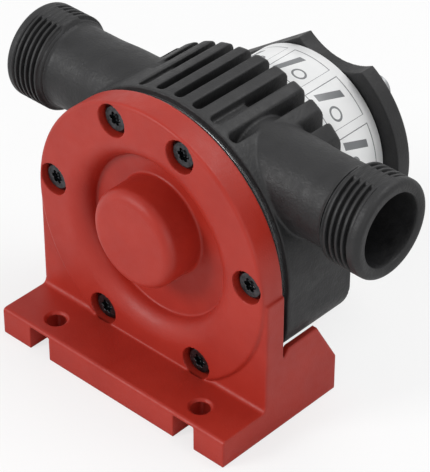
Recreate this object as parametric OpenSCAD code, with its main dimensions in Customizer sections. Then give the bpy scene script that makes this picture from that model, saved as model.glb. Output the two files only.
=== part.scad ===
// Drill powered self-priming pump: red cover and stand, finned black body with two threaded ports,
// flexible-vane rotor on an 8 mm shaft that a drill chuck grips at the back.
// X runs along the ports, +Y from the red front to the shaft end, Z is up and zero at the base.

/* [Stand] */
// How far the foot and the upright plate reach past the round cover on each side
stand_margin = 0.7; // [0.6:0.1:3]
// How far the foot reaches in front of the cover's face
foot_reach = 14.5; // [12:0.5:20]
// Height of the foot
foot_h = 8.1; // [7:0.1:10]
// Thickness of the foot over each front notch
foot_top_t = 1; // [0.8:0.1:2.5]
// Distance between the two fixing holes in the foot
foot_hole_span = 51.6; // [48:0.2:54]
// Diameter of a fixing hole
foot_hole_d = 5.2; // [4:0.1:6]
// Width of each front notch
notch_w = 7; // [6.6:0.2:8]
// Thickness of the side walls behind the plate
side_wall_t = 1.9; // [1.5:0.1:2]
// Height of the side walls
side_wall_h = 24; // [19:0.5:24]
// How far back the side walls reach
side_wall_reach = 27.7; // [24:0.1:32]

/* [Cover] */
// Height of the round cover's lowest point above the base
disc_lift = 2.3; // [2.2:0.1:7]
// Radius of the round cover
disc_r = 38.8; // [38.6:0.1:39.2]
// Thickness of the cover at its rim
cover_t = 7.4; // [6.8:0.1:9]
// How far the cover's face stands in front of the plate
disc_proud = 1; // [0.5:0.1:1.6]
// Width of the flat ring between the cover's rim and its recess
recess_margin = 9.8; // [9.7:0.1:11.2]
// Width of the recess's soft side
recess_side_w = 6.2; // [4:0.1:7]
// Depth of the recess
recess_d = 5.2; // [4:0.1:5.5]
// Radius of the bearing boss in the recess
boss_r = 13.8; // [12:0.1:15]
// How far the boss stands in front of the cover's face
boss_proud = 6; // [4:0.5:9]

/* [Cover screws] */
// Distance of the cover screws from the cover's rim
screw_inset = 5.2; // [5:0.05:5.4]
// Angle of the two upper screws from straight up
screw_top_a = 20; // [18:1:24]
// Angle of the two side screws above level
screw_side_a = 6.4; // [4:0.2:8]
// Angle of the two lower screws from straight down
screw_low_a = 29.5; // [26:0.5:32]
// Shank diameter of a cover screw
screw_d = 4; // [3.5:0.1:4]
// Head diameter of a cover screw
screw_head_d = 8.2; // [7.4:0.1:8.4]
// Diameter of the counterbore round a screw head
counterbore_d = 9; // [8.6:0.1:9.2]
// Length of a cover screw under its head
screw_l = 18; // [14:0.5:20]

/* [Body] */
// Length of the round body drum
drum_l = 23.9; // [23.8:0.1:27]
// Width of the body's flange, from the chamber to the rim
flange_w = 10.3; // [9.8:0.1:11.3]
// Depth of the pump chamber
chamber_l = 21.8; // [21:0.1:22]
// How far the shaft lies above the chamber's centre
shaft_offset = 3.7; // [2.5:0.1:4.2]
// Distance from fin to fin
fin_pitch = 6; // [5.6:0.1:6.2]
// Thickness of a fin
fin_t = 3.3; // [2.6:0.1:3.6]
// Number of fins
fin_count = 10; // [6:2:10]
// How far the fins reach behind the drum
fin_tail = 6.4; // [3:0.2:7]
// Outer radius of the bearing barrel
barrel_r = 24.6; // [24:0.1:26]
// Length of the bearing barrel
barrel_l = 28.4; // [27.5:0.1:34]

/* [Ports] */
// Distance from one port's end to the other's
port_span = 119.4; // [116:0.2:130]
// How far the port axis lies below the top of the chamber
port_drop = 6.6; // [6:0.1:8]
// Distance of the port axis behind the cover's face
port_y = 22.3; // [21.6:0.1:23]
// Outer diameter of the port thread
thread_d = 26.44; // [26:0.02:26.5]
// Pitch of the port thread
thread_pitch = 1.814; // [1.4:0.002:1.9]
// Number of thread turns
thread_turns = 5; // [3:1:6]
// Diameter of the port bore at its mouth
port_bore_d = 19.6; // [18:0.1:20]
// Diameter of the inner port passage
passage_d = 17.2; // [14:0.1:17.2]
// Outer diameter of the smooth neck
neck_d = 22.8; // [22:0.1:23.4]

/* [Rotor] */
// Shaft diameter
shaft_d = 8; // [7.8:0.02:8]
// How far the shaft stands out behind the rear cover
shaft_out = 24; // [18:1:32]
// Number of impeller vanes
vane_count = 6; // [5:1:8]
// Thickness of an impeller vane
vane_t = 2.8; // [2:0.1:3.5]

/* [Rear cover] */
// Thickness of the rear cover
rear_t = 5; // [4:0.1:7]
// Radius of the rear cover's lobes
lobe_r = 29.8; // [28.5:0.1:30.4]
// Radius from the shaft to the bottom of each hollow between lobes
hollow_floor_r = 22.8; // [22.6:0.1:24]
// Angle of the first hollow, anticlockwise from +X seen from the front
hollow_a = 80.5; // [78:0.5:90]
// Angle of the flat on the upper left lobe, measured the same way
flat_a = 125; // [118:1:135]

/* [Hidden] */
$fn = 96;

// Overrun of every cut, and the clearances between pieces
over = 1;
fit_gap = 0.05;
face_gap = 0.05;
hole_gap = 0.25;

// Colours
red = "#A8372F";
black = "#2E2E2F";
steel = "#B9BBBD";
bronze = "#9A7448";
rubber = "#1E1E1F";
white = "#DCDDDD";
screw_grey = "#4A4B4D";

// The stand's smaller sizes
stand_w = 2 * (disc_r + stand_margin);
foot_front = -foot_reach;
foot_hole_y = -8.1;
foot_hole_rim = 1.2;
foot_hole_rim_d = 0.45;
notch_d = 10.5;
foot_edge_r = 1;
plate_edge_r = 0.7;
plate_blend_r = 1.2;
core_wall = 3;
core_top = 2.6;
core_rib = 2.2;
wall_slope = 7.6;
wall_end_h = 10.8;
wall_nick_w = 2.2;
wall_nick_d = 2.6;

// The cover's smaller sizes
disc_z = disc_r + disc_lift;
disc_edge_r = 0.9;
recess_r = disc_r - recess_margin;
screw_ring_r = disc_r - screw_inset;
boss_edge_r = 3;
boss_foot_r = 0.6;
spigot_gap = 0.4;
counterbore_depth = 3.8;
screw_head_h = 2.4;
star_r = 1.9;
star_d = 1.5;
star_point_r = 0.55;
gasket_t = 1.5;
gasket_inset = 1.8;
wear_t = 0.8;
wear_inset = 1.6;

// Where things lie along the pump
plate_y = disc_proud;
spigot_y = cover_t + gasket_t - face_gap;
wear_y = cover_t + gasket_t;
drum_y = wear_y + wear_t;
chamber_end = drum_y + chamber_l;
drum_end = drum_y + drum_l;
barrel_end = drum_end + barrel_l;
rear_end = barrel_end + rear_t;
shaft_z = disc_z + shaft_offset;
shaft_r = shaft_d / 2;

// The drum's smaller sizes
chamber_r = disc_r - flange_w;
drum_edge_r = 0.8;
flank_inset = 0.2;
flank_turn_r = 12;
flank_slope_a = 45;
chamber_wall = 2.6;
drum_wall = 2.6;
screw_boss_r = 3.6;
pocket_ribs = 15;
pocket_rib_t = 1.8;
pocket_rise = 6.5;
pocket_top_z = disc_z + pocket_rise;
slot_front = 1.4;
front_slots = [-2, 3];
slot_floor_z = disc_z + chamber_r / 2;
fin_edge_r = 2.2;
tail_bottom_z = disc_z + chamber_r / 2;

// The barrel's smaller sizes
barrel_wall = 2.2;
tube_wall = 2;
bearing_r = 11;
rib_t = 2;
rear_screw_ring_r = (bearing_r + tube_wall + barrel_r - barrel_wall) / 2;
rear_screw_boss_r = 3.6;
rear_screw_d = 3;
rear_screw_l = 14;
rear_screw_head_d = 5.6;
rear_screw_head_h = 2;
wall_hole_r = 6;

// The ports' smaller sizes
port_z = disc_z + chamber_r - port_drop;
thread_depth = 1.16;
thread_flat_share = 0.22;
collar_l = 2.4;
shoulder_l = 1.7;
collar_chamfer = 0.7;
mouth_l = 14;
passage_end = 16;
flare_l = 10;
flare_r = 0.4;
port_start = 1.5 * fin_pitch;
thread_l = thread_turns * thread_pitch;
thread_in = port_span / 2 - collar_l - thread_l;

// The rotor's smaller sizes
boss_wall = 2.6;
bush_y = -boss_proud + boss_wall;
bush_r = 6;
shaft_front_gap = 0.5;
shaft_front_y = bush_y + shaft_front_gap;
shaft_end = rear_end + shaft_out;
shaft_chamfer = 0.9;
mark_gap = 0.8;
mark_w = 1;
mark_d = 0.3;
hub_r = 8;
hub_side_gap = 0.3;
sleeve_t = 2.6;
vane_gap = 0.5;
vane_bulb_r = 2.2;
pin_r = 1.5;
groove_d = 0.35;
clip_t = 0.8;
clip_side_gap = 0.05;
clip_w = 1.7;
clip_mouth = 3.4;

// The seal, the spacer and the bearing
seal_w = 7;
seal_skin = 0.9;
seal_lip_r = 6.6;
spring_wire_r = 0.45;
spring_y = 4.9;
slinger_r = 7.2;
slinger_w = 2.2;
slinger_gap = 1.2;
bearing_w = 7;
bearing_setback = 5;
race_t = 1.9;
ball_r = 1.98;
ball_count = 7;
groove_slack = 0.06;
cage_t = 1.2;
cage_w = 5.4;
pocket_slack = 0.15;
shield_t = 0.3;
shield_inset = 0.2;
shield_gap = 0.2;
seal_y = drum_end;
bearing_end = barrel_end - bearing_setback;
bearing_y = bearing_end - bearing_w;
bearing_mid_r = (bearing_r + shaft_r) / 2;
spacer_y = seal_y + seal_w;
spacer_wall = 1.4;
drain_r = 1.6;
drain_y = (spacer_y + bearing_y) / 2;

// The rear cover's smaller sizes
hollow_r = 18;
lobe_count = 3;
rear_edge_r = 0.8;
rear_lip_l = 2;
rear_lip_wall = 1.4;
rear_pocket_d = 1.6;
rear_dish_d = 1.2;
rear_pocket_gap = 0.8;
rear_hub_r = 11;
rear_hub_l = 1.6;
rear_hole_r = shaft_r + 0.5;
dust_r = 7;
dust_l = 2.5;
label_t = 0.35;
label_front = 1.2;
label_back = 0.3;
label_seam_a = 24;

// The foot's holes and notches sit at plus and minus half their span.
foot_hole_x = [-foot_hole_span / 2, foot_hole_span / 2];
// The six cover screws, as angles anticlockwise from +X seen from the front.
screw_angles = [90 - screw_top_a, 90 + screw_top_a, screw_side_a, 180 - screw_side_a,
                -90 + screw_low_a, -90 - screw_low_a];
// The rear cover's hollows, with a screw in each lobe between them.
hollow_angles = [for (i = [0 : lobe_count - 1]) hollow_a + i * 360 / lobe_count];
rear_screw_angles = [for (a = hollow_angles) a + 180 / lobe_count];

// Turns a shape drawn upwards so that it runs along +Y from the point y, z.
module along_y(y, z) {
    translate([0, y, z]) rotate([-90, 0, 0]) children();
}

// A round rod along +Y.
module rod(y0, y1, r, z = shaft_z) {
    along_y(y0, z) cylinder(h = y1 - y0, r = r);
}

// A tube along +Y.
module tube(y0, y1, r_in, r_out, z = shaft_z) {
    difference() {
        rod(y0, y1, r_out, z);
        rod(y0 - over, y1 + over, r_in, z);
    }
}

// Places children at an angle and radius round an axis along Y at height z.
module polar(a, r, z) {
    translate([r * cos(a), 0, z + r * sin(a)]) children();
}

// Turns children about the shaft's axis.
module about_shaft(a) {
    translate([0, 0, shaft_z]) rotate([0, -a, 0]) translate([0, 0, -shaft_z]) children();
}

// A box from its low corner to its high corner.
module block(lo, hi) {
    translate(lo) cube(hi - lo);
}

// Points of a quarter circle about c, from angle a0 to a1.
function arc(c, r, a0, a1, n = 8) =
    [for (i = [0 : n]) let (a = a0 + (a1 - a0) * i / n) c + r * [cos(a), sin(a)]];

module screw_places() {
    for (a = screw_angles) polar(a, screw_ring_r, disc_z) children();
}

module screw_holes(y0, y1, r) {
    for (a = screw_angles) polar(a, screw_ring_r, disc_z) rod(y0, y1, r, 0);
}

// The red disc and its recess, whose side rolls over softly at the face and meets the floor steeply.
module cover_disc() {
    side_steps = 12;
    recess = [for (i = [0 : side_steps]) let (a = 90 * i / side_steps)
              [recess_r - recess_side_w * cos(a), recess_d * (1 - sin(a))]];
    edge = arc([disc_r - disc_edge_r, disc_edge_r], disc_edge_r, -90, 0);
    along_y(0, disc_z) rotate_extrude()
        polygon(concat([[0, recess_d]], recess, edge, [[disc_r, cover_t], [0, cover_t]]));
}

// The boss that holds the front bush, with a rounded rim and a small blend at its foot.
module cover_boss() {
    rim = arc([boss_r - boss_edge_r, -boss_proud + boss_edge_r], boss_edge_r, -90, 0);
    foot = arc([boss_r + boss_foot_r, recess_d - boss_foot_r], boss_foot_r, 180, 90);
    along_y(0, shaft_z) rotate_extrude()
        polygon(concat([[0, -boss_proud]], rim, foot,
                       [[boss_r + boss_foot_r, recess_d + over], [0, recess_d + over]]));
}

// The upright plate below and beside the disc, with rounded front corners.
module cover_plate() {
    hw = stand_w / 2;
    left = arc([-hw + plate_edge_r, plate_y + plate_edge_r], plate_edge_r, 180, 270);
    right = arc([hw - plate_edge_r, plate_y + plate_edge_r], plate_edge_r, 270, 360);
    linear_extrude(disc_z) polygon(concat(left, right, [[hw, cover_t], [-hw, cover_t]]));
}

// The foot block with its blend into the plate, its fixing holes and its front notches.
module foot() {
    hw = stand_w / 2;
    section = concat([[foot_front, 0]],
                     arc([foot_front + foot_edge_r, foot_h - foot_edge_r], foot_edge_r, 180, 90),
                     arc([plate_y - plate_blend_r, foot_h + plate_blend_r], plate_blend_r, 270, 360),
                     [[cover_t, foot_h + plate_blend_r], [cover_t, 0]]);
    difference() {
        translate([-hw, 0, 0]) rotate([90, 0, 90]) linear_extrude(stand_w) polygon(section);
        for (x = foot_hole_x) {
            block([x - notch_w / 2, foot_front - over, -over],
                  [x + notch_w / 2, foot_front + notch_d, foot_h - foot_top_t]);
            translate([x, foot_hole_y, 0]) cylinder(h = foot_h + over, d = foot_hole_d);
            translate([x, foot_hole_y, foot_h - foot_hole_rim_d])
                cylinder(h = foot_hole_rim_d + over, d = foot_hole_d + foot_hole_rim);
        }
    }
}

// The two hollows in the foot's underside, with a rib between them.
module foot_hollows() {
    core_x = foot_hole_x[1] - notch_w / 2 - core_wall;
    for (s = [-1, 1])
        block([s * core_x / 2 - (core_x - core_rib) / 2, foot_front + core_wall, -over],
              [s * core_x / 2 + (core_x - core_rib) / 2, 0, foot_h - core_top]);
}

// One side wall behind the plate, with its sloped rear top corner and the nick beside the plate.
module side_wall() {
    y1 = side_wall_reach;
    outline = [[plate_y + plate_edge_r, 0], [y1, 0], [y1, wall_end_h], [y1 - wall_slope, side_wall_h],
               [cover_t + wall_nick_w, side_wall_h], [cover_t, side_wall_h - wall_nick_d],
               [plate_y + plate_edge_r, side_wall_h - wall_nick_d]];
    rotate([90, 0, 90]) linear_extrude(side_wall_t) polygon(outline);
}

module cover_stand() {
    color(red) difference() {
        union() {
            cover_disc();
            cover_boss();
            difference() {
                cover_plate();
                rod(plate_y - over, cover_t + over, disc_r - disc_edge_r, disc_z);
            }
            foot();
            translate([stand_w / 2 - side_wall_t, 0, 0]) side_wall();
            translate([-stand_w / 2, 0, 0]) side_wall();
            rod(cover_t - over, spigot_y, chamber_r + spigot_gap, disc_z);
        }
        foot_hollows();
        rod(bush_y, spigot_y + over, bush_r + fit_gap);
        screw_holes(-over, cover_t + over, screw_d / 2 + hole_gap);
        screw_holes(-fit_gap, counterbore_depth, counterbore_d / 2);
    }
}

// A six-pointed star recess, as a ring of round lobes.
module star_recess(y) {
    rod(y - over, y + star_d, star_r - star_point_r, 0);
    for (i = [0 : 5]) polar(60 * i, star_r - star_point_r, 0) rod(y - over, y + star_d, star_point_r, 0);
}

module cover_screws() {
    head_y = counterbore_depth - screw_head_h;
    dome = screw_head_h / 3;
    color(screw_grey) screw_places() difference() {
        along_y(head_y, 0) rotate_extrude()
            polygon([[0, 0], [screw_head_d / 2 - dome, 0], [screw_head_d / 2, dome],
                     [screw_head_d / 2, screw_head_h],
                     [screw_d / 2, screw_head_h], [screw_d / 2, screw_head_h + screw_l - screw_d / 2],
                     [screw_d / 4, screw_head_h + screw_l], [0, screw_head_h + screw_l]]);
        star_recess(head_y);
    }
}

module cover_gasket() {
    color(rubber) difference() {
        tube(cover_t, wear_y, chamber_r + 2 * spigot_gap, disc_r - gasket_inset, disc_z);
        screw_holes(cover_t - over, wear_y + over, screw_d / 2 + hole_gap);
    }
}

module wear_plate() {
    color(steel) difference() {
        rod(wear_y, drum_y, disc_r - wear_inset, disc_z);
        rod(wear_y - over, drum_y + over, shaft_r + 2 * hole_gap);
        screw_holes(wear_y - over, drum_y + over, screw_d / 2 + hole_gap);
    }
}

module front_bush() {
    color(bronze) tube(bush_y + face_gap, spigot_y - face_gap, shaft_r + fit_gap, bush_r);
}

// The drum's outline, with its rounded rear edge, out to y1.
module drum_round(y1, edge_r) {
    along_y(drum_y, disc_z) rotate_extrude()
        polygon(concat([[0, 0], [disc_r, 0]], arc([disc_r - edge_r, y1 - drum_y - edge_r], edge_r, 0, 90),
                       [[0, y1 - drum_y]]));
}

// The right flank: upright below the drum's middle, then a round turn to a slope that meets the drum again.
// Its flats start a hair inside the round, so they cross it cleanly.
module flank() {
    r = disc_r - flank_inset;
    c = (r - flank_turn_r) * [1, tan(flank_slope_a / 2)];
    along_y(drum_y, disc_z) linear_extrude(drum_l)
        polygon(concat([[0, 0], [r, 0]], arc(c, flank_turn_r, 0, flank_slope_a),
                       [r * [cos(flank_slope_a), sin(flank_slope_a)]]));
}

// A slab for every gap between the fins. The outer ones start over the port axis, not at the front.
module fin_slots() {
    gap = fin_pitch - fin_t;
    for (i = [1 - fin_count / 2 : fin_count / 2 - 1]) {
        y = i < front_slots[0] || i > front_slots[1] ? port_y : drum_y + slot_front + gap / 2;
        translate([i * fin_pitch, y, slot_floor_z]) {
            cylinder(h = disc_r, d = gap);
            translate([-gap / 2, 0, 0]) cube([gap, drum_l + fin_tail, disc_r]);
        }
    }
}

// The bosses into which the cover screws cut their threads.
module screw_bosses() {
    intersection() {
        drum_round(drum_end, drum_edge_r);
        screw_holes(drum_y - over, counterbore_depth + screw_l + 2 * over, screw_boss_r);
    }
}

// Moulding pockets in the drum's thick wall, open to the front under the wear plate.
module front_pockets() {
    difference() {
        tube(drum_y - over, drum_end - drum_wall, chamber_r + chamber_wall, disc_r - drum_wall, disc_z);
        block([-disc_r, 0, pocket_top_z], [disc_r, drum_end, disc_z + disc_r]);
        screw_holes(0, drum_end, screw_boss_r);
        for (i = [0 : pocket_ribs - 1]) translate([0, 0, disc_z]) rotate([0, 90 + i * 360 / pocket_ribs, 0])
            block([0, 0, -pocket_rib_t / 2], [disc_r, drum_end, pocket_rib_t / 2]);
    }
}

// The fins' ends that reach back over the barrel.
module fin_tails() {
    intersection() {
        drum_round(drum_end + fin_tail, fin_edge_r);
        for (i = [0 : fin_count - 1]) {
            x = (i - (fin_count - 1) / 2) * fin_pitch;
            block([x - fin_t / 2, chamber_end, tail_bottom_z],
                  [x + fin_t / 2, drum_end + fin_tail + over, disc_z + disc_r]);
        }
    }
}

// One port along +X: flared neck, thread ridges and plain end collar, drawn as one turned profile.
module port_outside() {
    root_r = thread_d / 2 - thread_depth;
    crest_r = thread_d / 2;
    ridge = thread_pitch * (1 - 2 * thread_flat_share) / 2;
    flat = thread_pitch * thread_flat_share;
    ridges = [for (i = [0 : thread_turns - 1]) each let (x = thread_in + i * thread_pitch)
              [[crest_r, x], [crest_r, x + flat],
               [root_r, x + flat + ridge], [root_r, x + 2 * flat + ridge]]];
    end = port_span / 2;
    flare_steps = 8;
    body_x = chamber_r - flare_r;
    flare = [for (i = [0 : flare_steps]) [neck_d / 2 + flare_r * (1 + cos(180 * i / flare_steps)) / 2,
             body_x + flare_l * i / flare_steps]];
    translate([0, port_y, port_z]) rotate([0, 90, 0]) rotate_extrude()
        polygon(concat([[0, port_start], [neck_d / 2 + flare_r, port_start]], flare,
                       [[neck_d / 2, thread_in - shoulder_l]], ridges,
                       [[crest_r, end - collar_l], [crest_r, end - collar_chamfer],
                        [crest_r - collar_chamfer, end], [0, end]]));
}

// The passage inside one port, from its mouth to the chamber.
module port_inside() {
    end = port_span / 2;
    translate([0, port_y, port_z]) rotate([0, 90, 0]) {
        translate([0, 0, end - mouth_l]) cylinder(h = mouth_l + over, d = port_bore_d);
        translate([0, 0, passage_end]) cylinder(h = end - passage_end, d = passage_d);
    }
}

// The weep hole that lets a leak out below, before it reaches the bearing.
module drain() {
    translate([0, drain_y, shaft_z - 2 * barrel_r]) cylinder(h = 2 * barrel_r, r = drain_r);
}

module rear_bosses(y0, y1, r) {
    for (a = rear_screw_angles) polar(a, rear_screw_ring_r, shaft_z) rod(y0, y1, r, 0);
}

// The barrel: an outer shell and a bearing tube, joined by a rib through each screw boss.
module barrel() {
    inner_r = barrel_r - barrel_wall;
    tube_r = bearing_r + tube_wall;
    tube(drum_end - over, barrel_end, inner_r, barrel_r);
    tube(drum_end - over, barrel_end, bearing_r, tube_r);
    for (a = rear_screw_angles) about_shaft(a)
        block([tube_r - over, drum_end - over, shaft_z - rib_t / 2],
              [inner_r + over, barrel_end - rear_lip_l - over, shaft_z + rib_t / 2]);
    rear_bosses(drum_end - over, barrel_end - rear_lip_l - fit_gap, rear_screw_boss_r);
}

module pump_housing() {
    color(black) difference() {
        union() {
            difference() {
                drum_round(drum_end, drum_edge_r);
                fin_slots();
            }
            flank();
            mirror([1, 0, 0]) flank();
            rod(drum_y, drum_end, chamber_r + chamber_wall, disc_z);
            screw_bosses();
            fin_tails();
            port_outside();
            mirror([1, 0, 0]) port_outside();
            barrel();
        }
        rod(drum_y - over, chamber_end, chamber_r, disc_z);
        front_pockets();
        port_inside();
        mirror([1, 0, 0]) port_inside();
        rod(chamber_end - over, drum_end + over, wall_hole_r);
        rod(drum_end, barrel_end + over, bearing_r);
        screw_holes(drum_y - over, counterbore_depth + screw_l + over, screw_d / 2 + fit_gap);
        rear_bosses(barrel_end - rear_screw_l - over, barrel_end + over, rear_screw_d / 2 + fit_gap);
        drain();
    }
}

module label_band() {
    y0 = drum_end + fin_tail + label_front;
    wedge = barrel_r * 2;
    color(white) difference() {
        tube(y0, barrel_end - label_back, barrel_r + face_gap, barrel_r + face_gap + label_t);
        along_y(y0 - over, shaft_z) linear_extrude(barrel_l)
            polygon([[0, 0], [wedge * sin(label_seam_a / 2), wedge * cos(label_seam_a / 2)],
                     [-wedge * sin(label_seam_a / 2), wedge * cos(label_seam_a / 2)]]);
    }
}

// A shallow ring-shaped pocket in the rear cover, which leaves the screw bosses standing.
module rear_pocket(y0, y1, r_in, r_out) {
    difference() {
        tube(y0, y1, r_in + rear_pocket_gap, r_out - rear_pocket_gap);
        rear_bosses(y0 - over, y1 + over, rear_screw_head_d / 2 + rear_lip_wall);
    }
}

module rear_cover() {
    lip_r = barrel_r - barrel_wall - fit_gap;
    clamp_r = bearing_r - fit_gap;
    edge = arc([lobe_r - rear_edge_r, rear_t - rear_edge_r], rear_edge_r, 0, 90, 3);
    color(black) difference() {
        union() {
            difference() {
                along_y(barrel_end, shaft_z) rotate_extrude()
                    polygon(concat([[0, 0], [lobe_r, 0]], edge, [[0, rear_t]]));
                for (a = hollow_angles) polar(a, hollow_floor_r + hollow_r, shaft_z)
                    rod(barrel_end - over, rear_end + over, hollow_r, 0);
                about_shaft(flat_a) block([barrel_r, barrel_end - over, shaft_z - lobe_r],
                                          [lobe_r + over, rear_end + over, shaft_z + lobe_r]);
            }
            tube(barrel_end - rear_lip_l, barrel_end + over, lip_r - rear_lip_wall, lip_r);
            tube(bearing_end + face_gap, barrel_end + over, clamp_r - race_t, clamp_r);
            rod(rear_end - over, rear_end + rear_hub_l, rear_hub_r);
        }
        rod(barrel_end - over, rear_end + rear_hub_l + over, rear_hole_r);
        rod(rear_end + rear_hub_l - dust_l, rear_end + rear_hub_l + over, dust_r);
        rear_bosses(barrel_end - over, rear_end + over, rear_screw_d / 2 + hole_gap);
        rear_bosses(rear_end - rear_screw_head_h - hole_gap, rear_end + over,
                    rear_screw_head_d / 2 + hole_gap);
        rear_pocket(barrel_end - over, barrel_end + rear_pocket_d, clamp_r, lip_r - rear_lip_wall);
        rear_pocket(rear_end - rear_dish_d, rear_end + over, rear_hub_r, lip_r - rear_lip_wall);
    }
}

module rear_cover_screws() {
    head_y = rear_end - hole_gap;
    color(screw_grey) for (a = rear_screw_angles) polar(a, rear_screw_ring_r, shaft_z) difference() {
        union() {
            rod(head_y - rear_screw_head_h, head_y, rear_screw_head_d / 2, 0);
            rod(head_y - rear_screw_head_h - rear_screw_l, head_y - rear_screw_head_h, rear_screw_d / 2, 0);
        }
        mirror([0, 1, 0]) star_recess(-head_y);
    }
}

module dust_seal() {
    y1 = rear_end + rear_hub_l;
    color(rubber) tube(y1 - dust_l + face_gap, y1 - face_gap, shaft_r + 2 * fit_gap, dust_r - fit_gap);
}

// Where a snap ring's groove starts, in front of and behind the bearing.
front_clip_y = bearing_y - clip_side_gap - clip_t;
rear_clip_y = bearing_end + clip_side_gap;

// The shaft has a groove for each snap ring, and a shallow one that marks how far it goes into a chuck.
module drive_shaft() {
    c = shaft_chamfer;
    mid_y = (drum_y + chamber_end) / 2;
    mark_y = rear_end + rear_hub_l + mark_gap;
    color(steel) difference() {
        along_y(shaft_front_y, shaft_z) rotate_extrude()
            polygon([[0, 0], [shaft_r - c, 0], [shaft_r, c], [shaft_r, shaft_end - shaft_front_y - c],
                     [shaft_r - c, shaft_end - shaft_front_y], [0, shaft_end - shaft_front_y]]);
        for (y = [front_clip_y, rear_clip_y]) tube(y, y + clip_t, shaft_r - groove_d, shaft_r + over);
        tube(mark_y, mark_y + mark_w, shaft_r - mark_d, shaft_r + over);
        translate([0, mid_y, shaft_z - shaft_d]) cylinder(h = 2 * shaft_d, r = pin_r + fit_gap);
    }
}

module drive_pin() {
    mid_y = (drum_y + chamber_end) / 2;
    color(steel) translate([0, mid_y, shaft_z - hub_r + sleeve_t / 2])
        cylinder(h = 2 * hub_r - sleeve_t, r = pin_r);
}

module impeller_hub() {
    mid_y = (drum_y + chamber_end) / 2;
    color(bronze) difference() {
        tube(drum_y + hub_side_gap, chamber_end - hub_side_gap, shaft_r + fit_gap / 2, hub_r);
        translate([0, mid_y, shaft_z - 2 * hub_r]) cylinder(h = 4 * hub_r, r = pin_r + fit_gap);
    }
}

// Rubber sleeve and vanes, at the radius to which the top of the chamber folds them.
module impeller_vanes() {
    y0 = drum_y + hub_side_gap;
    y1 = chamber_end - hub_side_gap;
    sleeve_r = hub_r + sleeve_t;
    tip_r = chamber_r - shaft_offset - vane_gap;
    color(rubber) {
        tube(y0, y1, hub_r + face_gap, sleeve_r);
        for (i = [0 : vane_count - 1]) about_shaft(i * 360 / vane_count) {
            block([hub_r + sleeve_t / 2, y0, shaft_z - vane_t / 2],
                  [tip_r - vane_bulb_r / 2, y1, shaft_z + vane_t / 2]);
            translate([tip_r - vane_bulb_r, 0, 0]) rod(y0, y1, vane_bulb_r);
        }
    }
}

// Runs a turned shape forwards from the lip seal's rear face, so that its open side faces the water.
module in_seal(d) {
    translate([0, seal_y + seal_w - d, shaft_z]) rotate([90, 0, 0]) rotate_extrude() children();
}

// The lip seal's steel case: a cup with an inward flange at its dry side.
module seal_case() {
    r0 = seal_lip_r + seal_skin;
    r1 = bearing_r - seal_skin;
    l = seal_w - 2 * seal_skin;
    color(steel) in_seal(seal_skin)
        polygon([[r0, 0], [r1, 0], [r1, l],
                 [r1 - seal_skin, l], [r1 - seal_skin, seal_skin], [r0, seal_skin]]);
}

// The seal's rubber: a jacket round the case and a lip that leans on the shaft.
module seal_lip() {
    out_r = bearing_r - fit_gap;
    in_r = bearing_r - 3 * seal_skin;
    lip_r = shaft_r + fit_gap;
    l = seal_w - 2 * face_gap;
    g = face_gap;
    r0 = seal_lip_r + seal_skin - g;
    r1 = bearing_r - seal_skin + g;
    r2 = bearing_r - 2 * seal_skin - g;
    case_l = seal_w - 2 * seal_skin + 2 * g;
    color(rubber) difference() {
        in_seal(face_gap)
            polygon([[seal_lip_r - seal_skin, 0], [out_r, 0], [out_r, l], [in_r, l], [in_r, 3 * seal_skin],
                     [seal_lip_r, 3 * seal_skin], [seal_lip_r, spring_y + seal_skin],
                     [lip_r + seal_skin, spring_y + seal_skin], [lip_r, spring_y],
                     [lip_r + seal_skin, spring_y - seal_skin], [seal_lip_r - seal_skin, seal_skin]]);
        in_seal(seal_skin - g)
            polygon([[r0, 0], [r1, 0], [r1, case_l],
                     [r2, case_l], [r2, seal_skin + 2 * g], [r0, seal_skin + 2 * g]]);
    }
}

// The garter spring that presses the lip, drawn as a closed ring of its coil's size.
module seal_spring() {
    color(steel) in_seal(spring_y)
        translate([seal_lip_r + spring_wire_r + face_gap, 0]) circle(r = spring_wire_r, $fn = 24);
}

module slinger_ring() {
    y0 = seal_y + seal_w + slinger_gap;
    color(rubber) tube(y0, y0 + slinger_w, shaft_r + face_gap, slinger_r);
}

module spacer_sleeve() {
    y0 = spacer_y + face_gap;
    y1 = bearing_y - face_gap;
    color(steel) difference() {
        tube(y0, y1, bearing_r - fit_gap - spacer_wall, bearing_r - fit_gap);
        drain();
    }
}

// The groove in which the balls run.
module ball_groove() {
    along_y((bearing_y + bearing_end) / 2, shaft_z) rotate_extrude()
        translate([bearing_mid_r, 0]) circle(r = ball_r + groove_slack, $fn = 48);
}

module bearing_outer_ring() {
    color(steel) difference() {
        tube(bearing_y, bearing_end, bearing_r - race_t, bearing_r - fit_gap);
        ball_groove();
    }
}

module bearing_inner_ring() {
    color(steel) difference() {
        tube(bearing_y, bearing_end, shaft_r + fit_gap / 2, shaft_r + race_t);
        ball_groove();
    }
}

module ball_places() {
    for (i = [0 : ball_count - 1]) polar(i * 360 / ball_count, bearing_mid_r, shaft_z)
        translate([0, (bearing_y + bearing_end) / 2, 0]) children();
}

module bearing_balls() {
    color(steel) ball_places() sphere(r = ball_r);
}

module bearing_cage() {
    mid = (bearing_y + bearing_end) / 2;
    color(bronze) difference() {
        tube(mid - cage_w / 2, mid + cage_w / 2, bearing_mid_r - cage_t / 2, bearing_mid_r + cage_t / 2);
        for (i = [0 : ball_count - 1]) about_shaft(i * 360 / ball_count)
            translate([bearing_mid_r - cage_t, mid, shaft_z])
                rotate([0, 90, 0]) cylinder(h = bearing_r, r = ball_r + pocket_slack);
    }
}

module bearing_shields() {
    color(steel) for (y = [bearing_y + shield_inset, bearing_end - shield_inset - shield_t])
        tube(y, y + shield_t, shaft_r + race_t + shield_gap, bearing_r - race_t - face_gap);
}

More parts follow.
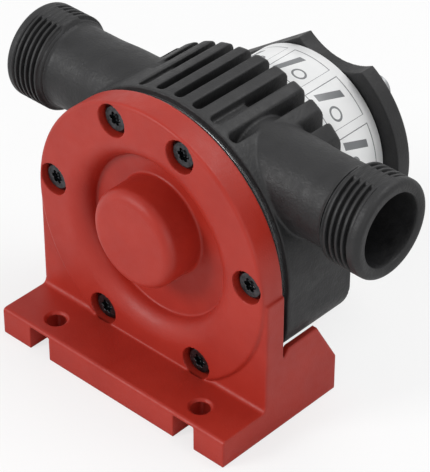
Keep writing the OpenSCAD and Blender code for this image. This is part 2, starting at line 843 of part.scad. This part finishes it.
// A snap ring in a shaft groove, open at the top.
module snap_ring(y) {
    color(steel) difference() {
        tube(y + clip_side_gap / 2, y + clip_t - clip_side_gap / 2,
             shaft_r - groove_d + face_gap, shaft_r + clip_w);
        block([-clip_mouth / 2, y - over, shaft_z],
              [clip_mouth / 2, y + clip_t + over, shaft_z + 2 * shaft_d]);
    }
}

module front_circlip() {
    snap_ring(front_clip_y);
}

module rear_circlip() {
    snap_ring(rear_clip_y);
}

cover_stand();
cover_screws();
cover_gasket();
wear_plate();
front_bush();
pump_housing();
label_band();
rear_cover();
rear_cover_screws();
dust_seal();
drive_shaft();
impeller_hub();
impeller_vanes();
drive_pin();
seal_case();
seal_lip();
seal_spring();
slinger_ring();
spacer_sleeve();
bearing_outer_ring();
bearing_inner_ring();
bearing_balls();
bearing_cage();
bearing_shields();
front_circlip();
rear_circlip();
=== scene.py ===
import math

import bmesh
import bpy
import numpy as np
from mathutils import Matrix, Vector


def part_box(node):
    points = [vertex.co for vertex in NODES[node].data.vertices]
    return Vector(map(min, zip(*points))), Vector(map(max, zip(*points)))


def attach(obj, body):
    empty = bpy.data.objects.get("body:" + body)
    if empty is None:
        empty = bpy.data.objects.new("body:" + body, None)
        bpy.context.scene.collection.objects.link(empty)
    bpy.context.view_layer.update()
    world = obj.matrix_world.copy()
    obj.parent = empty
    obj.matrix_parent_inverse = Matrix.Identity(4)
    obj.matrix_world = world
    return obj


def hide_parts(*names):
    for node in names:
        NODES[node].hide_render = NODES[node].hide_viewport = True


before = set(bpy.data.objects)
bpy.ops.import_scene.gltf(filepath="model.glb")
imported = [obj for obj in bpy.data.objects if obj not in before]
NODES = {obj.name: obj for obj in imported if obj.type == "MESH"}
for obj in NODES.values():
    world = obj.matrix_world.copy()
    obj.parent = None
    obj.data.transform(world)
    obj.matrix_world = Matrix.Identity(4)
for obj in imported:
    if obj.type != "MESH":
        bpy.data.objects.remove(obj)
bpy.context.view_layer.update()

MM = 0.001

# Places that the solids give, in metres. The ports' axis is the one that the record's port mounts state.
HUB_LOW, HUB_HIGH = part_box("impeller_hub")
SHAFT_Z = HUB_LOW.z / 2 + HUB_HIGH.z / 2
PORT_Y = 0.0223
PORT_Z = 0.063
PORT_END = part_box("pump_housing")[1].x
THREAD_FROM = 0.0472    # further out than this on both sides, the thread pieces stand for the housing

# The camera, fitted to points of the photograph: degrees, metres, and a lens for a sensor 36 mm wide
AZIMUTH = 42.97
ELEVATION = 36.5
TARGET = Vector((0.02325, 0.0, 0.05533))
DISTANCE = 0.57998
LENS = 183.9
SENSOR = 36.0

# The studio: floor and lamps aimed at the middle of the pump, in metres and watts
FLOOR_REACH = 6.0
FLOOR_WHITE = 0.72      # to the camera this much of the floor is plain white, and the rest keeps the shadow
WORLD_LIGHT = 0.38      # the world's strength as a light; seen directly or mirrored it is 1, which is white
LAMPS_AIM = Vector((0, 0.02, 0.04))
LAMPS = (
    # name, place, width, power
    ("key", (-0.6, -1.1, 0.75), 0.5, 11.2),
    ("fill", (1.1, -0.5, 0.35), 0.9, 3.0),
    ("top", (0.25, 0.5, 1.2), 0.7, 8.0),
)

# The film's print: a frame's share of each step round the barrel, the middles of a frame, ring and bar,
# and half the width of each printed line, all in steps along u and frame heights along v
FRAME_WIDTH = 0.83
FRAME_LINE = 0.011
RING_CENTRE = (0.26, 0.36, 0.0)
RING_RADIUS = 0.13
RING_LINE = 0.022
BAR_LEAN = 0.25
BAR_PLACE = 0.72
BAR_LINE = 0.075
BAR_HALF_HEIGHT = 0.33

# Noise lies mostly between these two values, so this span is spread over a pattern's whole range
NOISE_LOW = 0.3
NOISE_HIGH = 0.7

# Sockets of a Mix node that mixes colours: its share and its two tones going in, and its result
SHARE, TONE_A, TONE_B = 0, 6, 7
MIXED = 2

MERGE_GAP = 0.002 * MM  # corners of a solid's mesh that lie closer than this are one corner


def to_linear(text):
    """An sRGB hex colour as linear RGBA."""
    parts = [int(text[i:i + 2], 16) / 255 for i in (1, 3, 5)]
    return [c / 12.92 if c <= 0.04045 else ((c + 0.055) / 1.055) ** 2.4 for c in parts] + [1.0]


def add_node(tree, kind, settings=None, links=None):
    """Adds one node; settings are its attributes or socket values, links its inputs."""
    node = tree.nodes.new(kind)
    for key, value in (settings or {}).items():
        if isinstance(key, str) and hasattr(node, key):
            setattr(node, key, value)
        else:
            node.inputs[key].default_value = value
    for key, source in (links or {}).items():
        tree.links.new(source, node.inputs[key])
    return node


def new_material(name, settings):
    """A material with its shader, and the tree and object coordinates to work on."""
    material = bpy.data.materials.new(name)
    material.use_nodes = True
    tree = material.node_tree
    shader = tree.nodes["Principled BSDF"]
    for key, value in settings.items():
        shader.inputs[key].default_value = value
    coords = add_node(tree, "ShaderNodeTexCoord").outputs["Object"]
    return material, tree, shader, coords


def blotches(tree, coords, size_mm, detail, low, high):
    """Soft noise with blotches about size_mm across, spread from low to high."""
    noise = add_node(tree, "ShaderNodeTexNoise", {"Scale": 1 / (size_mm * MM), "Detail": detail},
                     {"Vector": coords})
    spread = {"From Min": NOISE_LOW, "From Max": NOISE_HIGH, "To Min": low, "To Max": high}
    return add_node(tree, "ShaderNodeMapRange", spread, {"Value": noise.outputs["Fac"]}).outputs["Result"]


def mottle(tree, shader, coords, size_mm, detail, first, second):
    """Colour that drifts from one hex colour to the other in blotches about size_mm across."""
    colour = add_node(tree, "ShaderNodeMix",
                      {"data_type": "RGBA", TONE_A: to_linear(first), TONE_B: to_linear(second)},
                      {SHARE: blotches(tree, coords, size_mm, detail, low=0, high=1)})
    tree.links.new(colour.outputs[MIXED], shader.inputs["Base Color"])


def polish(tree, shader, coords, size_mm, smooth, rough):
    """Roughness that drifts between two values in blotches about size_mm across."""
    drift = blotches(tree, coords, size_mm, detail=2, low=smooth, high=rough)
    tree.links.new(drift, shader.inputs["Roughness"])


def grain(tree, shader, coords, size_mm, detail, depth_mm):
    """A surface relief of depth_mm with grains about size_mm across."""
    bump = add_node(tree, "ShaderNodeBump", {"Distance": depth_mm * MM},
                    {"Height": blotches(tree, coords, size_mm, detail, low=0, high=1)})
    tree.links.new(bump.outputs["Normal"], shader.inputs["Normal"])


def moulded_red_plastic():
    """Injection-moulded impact plastic: satin and faintly mottled. The mould's spark-eroded grain,
    about 0.1 mm, is drawn at 0.5 mm so that it breaks up the highlights in the render."""
    material, tree, shader, coords = new_material("moulded_red_plastic",
                                                  {"IOR": 1.5, "Specular IOR Level": 0.32})
    mottle(tree, shader, coords, size_mm=14, detail=3, first="#9C2519", second="#A72D20")
    polish(tree, shader, coords, size_mm=3, smooth=0.4, rough=0.52)
    grain(tree, shader, coords, size_mm=0.5, detail=3, depth_mm=0.02)
    return material


def moulded_black_nylon():
    """Glass-filled nylon from a sparked mould: dark grey with a dry sheen. Its glass fibres and grain,
    about 0.1 mm, are drawn at 0.7 mm so that they show as a faint speckle."""
    material, tree, shader, coords = new_material("moulded_black_nylon",
                                                  {"IOR": 1.53, "Specular IOR Level": 0.3})
    mottle(tree, shader, coords, size_mm=4, detail=4, first="#1A1A1B", second="#242425")
    polish(tree, shader, coords, size_mm=2, smooth=0.46, rough=0.6)
    grain(tree, shader, coords, size_mm=0.7, detail=3, depth_mm=0.05)
    return material


def blackened_steel():
    """Black oxide on forged screws and spring-steel circlips: dark, with small bright glints."""
    material, tree, shader, coords = new_material("blackened_steel", {"Metallic": 1.0})
    mottle(tree, shader, coords, size_mm=1.2, detail=3, first="#2C2D2F", second="#4C4D50")
    polish(tree, shader, coords, size_mm=0.8, smooth=0.26, rough=0.42)
    return material


def ground_steel(name, dark, pale, smooth, rough):
    """Steel turned or ground round the shaft's axis: grey, with rings across it, because the noise is
    fifty times longer across the axis than along it. The real marks, about 0.05 mm, are drawn at
    0.35 mm so that they show."""
    material, tree, shader, coords = new_material(name, {"Metallic": 1.0})
    drawn_out = add_node(tree, "ShaderNodeMapping", {"Scale": (0.02, 1.0, 0.02)}, {"Vector": coords})
    turned = drawn_out.outputs["Vector"]
    mottle(tree, shader, turned, size_mm=0.35, detail=2, first=dark, second=pale)
    polish(tree, shader, turned, size_mm=0.35, smooth=smooth, rough=rough)
    grain(tree, shader, turned, size_mm=0.35, detail=2, depth_mm=0.006)
    return material


def sintered_bronze():
    """Sintered bronze, pressed from powder: warm and slightly porous. Its pores, about 0.05 mm, are
    drawn at 0.4 mm."""
    material, tree, shader, coords = new_material("sintered_bronze", {"Metallic": 1.0, "Roughness": 0.4})
    mottle(tree, shader, coords, size_mm=0.6, detail=4, first="#8C6B3F", second="#B08B55")
    grain(tree, shader, coords, size_mm=0.4, detail=3, depth_mm=0.02)
    return material


def moulded_nitrile_rubber():
    """Moulded nitrile rubber: near black and dull."""
    material, tree, shader, coords = new_material("moulded_nitrile_rubber",
                                                  {"Roughness": 0.75, "IOR": 1.52})
    mottle(tree, shader, coords, size_mm=2, detail=3, first="#141415", second="#1E1E1F")
    grain(tree, shader, coords, size_mm=0.6, detail=3, depth_mm=0.02)
    return material


def printed_polyester_film():
    """White polyester film, screen printed: thin grey frames, each with a grey ring and a grey bar.
    The piece's UV map counts steps of frames along u and frame heights along v. A frame's line is
    where the larger of the distances from its middle, in widths and heights, is one half. The ring
    is where the distance from its centre is its radius, and the bar where u plus a share of v is
    near one value."""
    material, tree, shader, coords = new_material("printed_polyester_film",
                                                  {"Roughness": 0.35, "IOR": 1.5})
    on_film = add_node(tree, "ShaderNodeUVMap", {"uv_map": "film"}).outputs[0]
    parts = add_node(tree, "ShaderNodeSeparateXYZ", links={0: on_film})
    u = add_node(tree, "ShaderNodeMath", {"operation": "FRACT"}, {0: parts.outputs["X"]}).outputs[0]
    v = parts.outputs["Y"]
    in_frame = add_node(tree, "ShaderNodeCombineXYZ", links={0: u, 1: v}).outputs[0]
    from_ring = add_node(tree, "ShaderNodeVectorMath", {"operation": "DISTANCE", 1: RING_CENTRE},
                         {0: in_frame}).outputs["Value"]
    values = {"u": u, "v": v, "from ring": from_ring}
    steps = (
        # result, operation, and its terms: a number or the name of an earlier value
        ("off middle", "SUBTRACT", "u", FRAME_WIDTH / 2),
        ("in widths", "DIVIDE", "off middle", FRAME_WIDTH),
        ("across", "ABSOLUTE", "in widths"),
        ("in heights", "SUBTRACT", "v", 0.5),
        ("along", "ABSOLUTE", "in heights"),
        ("outward", "MAXIMUM", "across", "along"),
        ("frame", "COMPARE", "outward", 0.5, FRAME_LINE),
        ("ring", "COMPARE", "from ring", RING_RADIUS, RING_LINE),
        ("leaning", "MULTIPLY_ADD", "v", BAR_LEAN, "u"),
        ("stripe", "COMPARE", "leaning", BAR_PLACE, BAR_LINE),
        ("within", "LESS_THAN", "along", BAR_HALF_HEIGHT),
        ("bar", "MULTIPLY", "stripe", "within"),
        ("ring or bar", "MAXIMUM", "ring", "bar"),
        ("print", "MAXIMUM", "frame", "ring or bar"),
    )
    for result, operation, *terms in steps:
        numbers = {i: term for i, term in enumerate(terms) if not isinstance(term, str)}
        sockets = {i: values[term] for i, term in enumerate(terms) if isinstance(term, str)}
        values[result] = add_node(tree, "ShaderNodeMath", {"operation": operation, **numbers},
                                  sockets).outputs[0]
    paper = add_node(tree, "ShaderNodeMix",
                     {"data_type": "RGBA", TONE_A: to_linear("#EEEFEF"), TONE_B: to_linear("#F4F4F4")},
                     {SHARE: blotches(tree, coords, size_mm=6, detail=2, low=0, high=1)})
    inked = add_node(tree, "ShaderNodeMix", {"data_type": "RGBA", TONE_B: to_linear("#77797B")},
                     {SHARE: values["print"], TONE_A: paper.outputs[MIXED]})
    tree.links.new(inked.outputs[MIXED], shader.inputs["Base Color"])
    return material


RED = moulded_red_plastic()
BLACK = moulded_black_nylon()
SCREW = blackened_steel()
STEEL = ground_steel("ground_carbon_steel", dark="#808285", pale="#A6A7A8", smooth=0.29, rough=0.41)
SHEET = ground_steel("rolled_stainless_sheet", dark="#B5B7B9", pale="#CFD0D1", smooth=0.19, rough=0.31)
BRONZE = sintered_bronze()
RUBBER = moulded_nitrile_rubber()
FILM = printed_polyester_film()

FINISHES = {
    "cover_stand": RED, "cover_screws": SCREW, "cover_gasket": RUBBER, "wear_plate": SHEET,
    "front_bush": BRONZE, "pump_housing": BLACK, "label_band": FILM, "rear_cover": BLACK,
    "rear_cover_screws": SCREW, "dust_seal": RUBBER, "drive_shaft": STEEL, "impeller_hub": BRONZE,
    "impeller_vanes": RUBBER, "drive_pin": STEEL, "seal_case": STEEL, "seal_lip": RUBBER,
    "seal_spring": STEEL, "slinger_ring": RUBBER, "spacer_sleeve": BLACK, "bearing_outer_ring": STEEL,
    "bearing_inner_ring": STEEL, "bearing_balls": STEEL, "bearing_cage": BRONZE,
    "bearing_shields": SHEET, "front_circlip": SCREW, "rear_circlip": SCREW,
}
for name, material in FINISHES.items():
    NODES[name].data.materials.clear()
    NODES[name].data.materials.append(material)


def apply_modifiers(piece):
    """Makes what the modifiers give the piece's own mesh."""
    graph = bpy.context.evaluated_depsgraph_get()
    mesh = bpy.data.meshes.new_from_object(piece.evaluated_get(graph))
    piece.modifiers.clear()
    old = piece.data
    piece.data = mesh
    bpy.data.meshes.remove(old)


def softened(node, name, voxel_mm, passes, triangles, half_width=None):
    """A copy of a solid's mesh with every edge rounded: rebuilt on a grid of voxel_mm, then each
    point moved half way to the mean of its neighbours a few times, then thinned where it is flat.
    With a half width, what lies further out along X is cut off first and the cuts are closed."""
    mesh = NODES[node].data.copy()
    piece = bpy.data.objects.new(name, mesh)
    bpy.context.scene.collection.objects.link(piece)
    shape = bmesh.new()
    shape.from_mesh(mesh)
    bmesh.ops.remove_doubles(shape, verts=shape.verts, dist=MERGE_GAP)
    sides = (-1, 1) if half_width else ()
    for side in sides:
        everything = shape.verts[:] + shape.edges[:] + shape.faces[:]
        cut = bmesh.ops.bisect_plane(shape, geom=everything, plane_co=(side * half_width, 0, 0),
                                     plane_no=(side, 0, 0), clear_outer=True)
        rim = [e for e in cut["geom_cut"] if isinstance(e, bmesh.types.BMEdge)]
        bmesh.ops.triangle_fill(shape, edges=rim, use_beauty=True, normal=(side, 0, 0))
    shape.to_mesh(mesh)
    shape.free()
    grid = piece.modifiers.new("grid", "REMESH")
    grid.mode = "VOXEL"
    grid.voxel_size = voxel_mm * MM
    grid.use_smooth_shade = True
    relax = piece.modifiers.new("relax", "SMOOTH")
    relax.factor = 0.5
    relax.iterations = passes
    apply_modifiers(piece)
    share = triangles / (2 * len(piece.data.polygons))
    if share < 1:
        thin = piece.modifiers.new("thin", "DECIMATE")
        thin.ratio = share
        apply_modifiers(piece)
    piece.data.polygons.foreach_set("use_smooth", np.ones(len(piece.data.polygons), bool))
    return piece


def place(piece, material, node):
    """Gives a piece its finish, puts it on the pump's body and lets it stand for a solid."""
    piece.data.materials.clear()
    piece.data.materials.append(material)
    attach(piece, "pump_body")
    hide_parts(node)


def skin(name, points, wrap_rows, uv=None):
    """A smooth mesh over a grid of points, whose columns close round each row. The rows close round
    too, or else the first and the last row are capped. Faces are turned outward."""
    rows, columns = points.shape[:2]
    row, column = np.meshgrid(np.arange(rows if wrap_rows else rows - 1), np.arange(columns),
                              indexing="ij")
    below, beside = (row + 1) % rows, (column + 1) % columns
    quads = np.stack([row * columns + column, below * columns + column,
                      below * columns + beside, row * columns + beside], axis=-1).reshape(-1, 4)
    faces = quads.tolist()
    if not wrap_rows:
        faces.append(list(range(columns)))
        faces.append([(rows - 1) * columns + c for c in reversed(range(columns))])
    mesh = bpy.data.meshes.new(name)
    mesh.from_pydata(points.reshape(-1, 3).tolist(), [], faces)
    mesh.polygons.foreach_set("use_smooth", np.ones(len(mesh.polygons), bool))
    if uv is not None:
        layer = mesh.uv_layers.new(name="film")
        corners = np.empty(len(mesh.loops), int)
        mesh.loops.foreach_get("vertex_index", corners)
        layer.data.foreach_set("uv", uv.reshape(-1, 2)[corners].ravel())
    shape = bmesh.new()
    shape.from_mesh(mesh)
    bmesh.ops.recalc_face_normals(shape, faces=shape.faces)
    shape.to_mesh(mesh)
    shape.free()
    piece = bpy.data.objects.new(name, mesh)
    bpy.context.scene.collection.objects.link(piece)
    return piece


def smooth_step(low, high, value):
    """Nought below low, one above high, and a soft S between."""
    t = np.clip((value - low) / (high - low), 0, 1)
    return t * t * (3 - 2 * t)


def port_thread(name, side):
    """One port's threaded end, in millimetres before scaling. Along the outline, which goes out over
    the thread and collar, round the end face, and back in along the bore, the radius is
    outline radius - depth * groove(phase) * run-out(x) * (1 - pad(angle)), where
    phase = (x - thread start) / pitch - angle / full turn, so that the grooves wind to the right.
    The pads are the two moulding flats, at the top and below, where the grooves are shallow. The
    inner end stands a hair proud of the housing's neck, so that it covers the housing's cut end."""
    end = PORT_END / MM
    crest, neck, bore = 13.22, 11.4, 9.8
    depth, pitch, thread_start, thread_stop = 1.16, 1.814, 48.2, 57.3
    root_x, shoulder_end, flare_start, flare_end = 46.4, 46.8, 47.0, 48.6
    rim_r, fade, row_gap = 1.5, 1.0, 0.1
    proud_r = neck + 0.03, neck + 0.04, neck + 0.06
    lip, mouth, mouth_r, bore_from = 0.15, 0.7, 0.25, 2
    groove_edge, groove_floor = 0.28, 0.62
    pad_share, pad_half, pad_end = 0.85, math.radians(12), math.radians(17)
    angle = np.linspace(0, 2 * math.pi, 216, endpoint=False)
    turn = np.linspace(0, math.pi / 2, 9)

    shoulder_x = np.array([root_x, shoulder_end])
    flare_x = np.linspace(flare_start, flare_end, 8)
    thread_x = np.linspace(flare_end + row_gap, end - rim_r - row_gap, 150)
    rim_x = end - rim_r + rim_r * np.sin(turn)
    mouth_x = np.array([end - lip, end - mouth])
    bore_x = np.linspace(end - bore_from, root_x, 12)
    outline_x = np.concatenate([shoulder_x, flare_x, thread_x, rim_x, mouth_x, bore_x])

    flare_r = proud_r[2] + (crest - proud_r[2]) * smooth_step(flare_start, flare_end, flare_x)
    outline_r = np.concatenate([proud_r[:2], flare_r, np.full(len(thread_x), crest),
                                crest - rim_r + rim_r * np.cos(turn), [bore + mouth_r, bore],
                                np.full(len(bore_x), bore)])
    runout = np.concatenate([np.zeros(len(shoulder_x)), smooth_step(flare_end - fade, flare_end, flare_x),
                             1 - smooth_step(thread_stop - fade, thread_stop, thread_x),
                             np.zeros(len(rim_x) + len(mouth_x) + len(bore_x))])

    phase = (outline_x[:, None] - thread_start) / pitch - angle[None, :] / (2 * math.pi)
    groove = smooth_step(groove_edge, groove_floor, np.abs(2 * (phase % 1) - 1))
    from_top = np.abs((angle + math.pi / 2) % math.pi - math.pi / 2)
    pad = pad_share * (1 - smooth_step(pad_half, pad_end, from_top))
    radius = outline_r[:, None] - depth * groove * runout[:, None] * (1 - pad[None, :])
    points = np.stack([side * np.broadcast_to(outline_x[:, None], radius.shape),
                       -side * radius * np.sin(angle) + PORT_Y / MM,
                       radius * np.cos(angle) + PORT_Z / MM], axis=-1)
    return skin(name, points * MM, True)


def label_film():
    """The printed film bent round the barrel, in millimetres before scaling: a thin strip with rounded
    edges, swept round the shaft's axis from one side of the gap below to the other. Its UV map is
    (angle - first frame's angle) / a frame's step, and (y - the print's front) / the print's height."""
    low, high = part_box("label_band")
    slack, edge = 0.02, 0.1
    inner, outer = 24.68, high.x / MM - slack
    front, back = low.y / MM, high.y / MM
    first_turn, last_turn = -78, 258
    first_frame, frame_step = 4.8, 33
    print_front, print_height = 47, 12
    turns = np.radians(np.arange(first_turn, last_turn + 1))
    strip_y = np.array([front + edge, back - edge, back, back, back - edge, front + edge, front, front])
    strip_r = np.array([outer, outer, outer - edge, inner + edge, inner, inner, inner + edge,
                        outer - edge])
    grid = (len(turns), len(strip_y))
    points = np.stack([strip_r * np.cos(turns)[:, None], np.broadcast_to(strip_y, grid),
                       strip_r * np.sin(turns)[:, None] + SHAFT_Z / MM], axis=-1)
    frames = np.broadcast_to(((np.degrees(turns) - first_frame) / frame_step)[:, None], grid)
    heights = np.broadcast_to((strip_y - print_front) / print_height, grid)
    return skin("label_film", points * MM, False, np.stack([frames, heights], axis=-1))


place(label_film(), FILM, "label_band")
place(port_thread("port_thread_right", 1), BLACK, "pump_housing")
place(port_thread("port_thread_left", -1), BLACK, "pump_housing")

SOFTENED = (
    # solid, piece, finish, slot, grid in mm, smoothing passes, triangles, half width that is kept
    ("pump_housing", "moulded_housing", BLACK, "black_housing", 0.38, 3, 190000, THREAD_FROM),
    ("cover_stand", "moulded_cover", RED, "red_cover", 0.3, 1, 190000, None),
    ("rear_cover", "moulded_rear_cover", BLACK, "black_housing", 0.26, 3, 90000, None),
    ("cover_screws", "forged_cover_screws", SCREW, "dark_screws", 0.14, 2, 90000, None),
)
for node, name, finish, slot, voxel_mm, passes, triangles, half_width in SOFTENED:
    place(softened(node, name, voxel_mm, passes, triangles, half_width), finish, node)


def pale_floor():
    """A wide plain floor. To the camera it is mostly white, as the photograph's ground is, and the
    rest is a dull pale surface that keeps the pump's shadow."""
    reach = FLOOR_REACH
    mesh = bpy.data.meshes.new("floor")
    mesh.from_pydata([(-reach, -reach, 0), (reach, -reach, 0), (reach, reach, 0), (-reach, reach, 0)],
                     [], [(0, 1, 2, 3)])
    floor = bpy.data.objects.new("floor", mesh)
    bpy.context.scene.collection.objects.link(floor)
    material, tree, shader, coords = new_material("pale_floor", {"Roughness": 0.9})
    shader.inputs["Base Color"].default_value = to_linear("#F2F2F2")
    path = add_node(tree, "ShaderNodeLightPath")
    seen = add_node(tree, "ShaderNodeMath", {"operation": "MULTIPLY", 1: FLOOR_WHITE},
                    {0: path.outputs["Is Camera Ray"]})
    white = add_node(tree, "ShaderNodeEmission", {"Color": (1, 1, 1, 1), "Strength": 1.0})
    mixed = add_node(tree, "ShaderNodeMixShader",
                     links={0: seen.outputs[0], 1: shader.outputs[0], 2: white.outputs[0]})
    tree.links.new(mixed.outputs[0], tree.nodes["Material Output"].inputs["Surface"])
    mesh.materials.append(material)


def white_world():
    """A white world: full strength where it is seen, through glass or mirrored too, and softer where
    it only lights the pump."""
    world = bpy.data.worlds.new("studio")
    bpy.context.scene.world = world
    world.use_nodes = True
    tree = world.node_tree
    backdrop = tree.nodes["Background"]
    path = add_node(tree, "ShaderNodeLightPath")
    direct = add_node(tree, "ShaderNodeMath", {"operation": "MAXIMUM"},
                      {0: path.outputs["Is Camera Ray"], 1: path.outputs["Is Transmission Ray"]})
    direct = add_node(tree, "ShaderNodeMath", {"operation": "MAXIMUM"},
                      {0: direct.outputs[0], 1: path.outputs["Is Glossy Ray"]})
    level = add_node(tree, "ShaderNodeMapRange", {"To Min": WORLD_LIGHT, "To Max": 1.0},
                     {"Value": direct.outputs[0]})
    tree.links.new(level.outputs["Result"], backdrop.inputs["Strength"])
    backdrop.inputs["Color"].default_value = (1, 1, 1, 1)


def stand_at(thing, where, look):
    """Puts a lamp or camera at a place, turned so that it looks along a direction."""
    thing.location = where
    thing.rotation_mode = "QUATERNION"
    thing.rotation_quaternion = look.to_track_quat("-Z", "Y")
    bpy.context.scene.collection.objects.link(thing)


pale_floor()
white_world()
for name, where, width, power in LAMPS:
    light = bpy.data.lights.new(name, "AREA")
    light.size = width
    light.energy = power
    stand_at(bpy.data.objects.new(name, light), where, LAMPS_AIM - Vector(where))

azimuth, elevation = math.radians(AZIMUTH), math.radians(ELEVATION)
back = Vector((math.sin(azimuth) * math.cos(elevation), -math.cos(azimuth) * math.cos(elevation),
               math.sin(elevation)))
lens = bpy.data.cameras.new("camera")
lens.lens = LENS
lens.sensor_width = SENSOR
lens.clip_start = 0.05
lens.clip_end = 20.0
camera = bpy.data.objects.new("camera", lens)
stand_at(camera, TARGET + back * DISTANCE, -back)
bpy.context.scene.camera = camera
bpy.context.scene.view_settings.view_transform = "Standard"
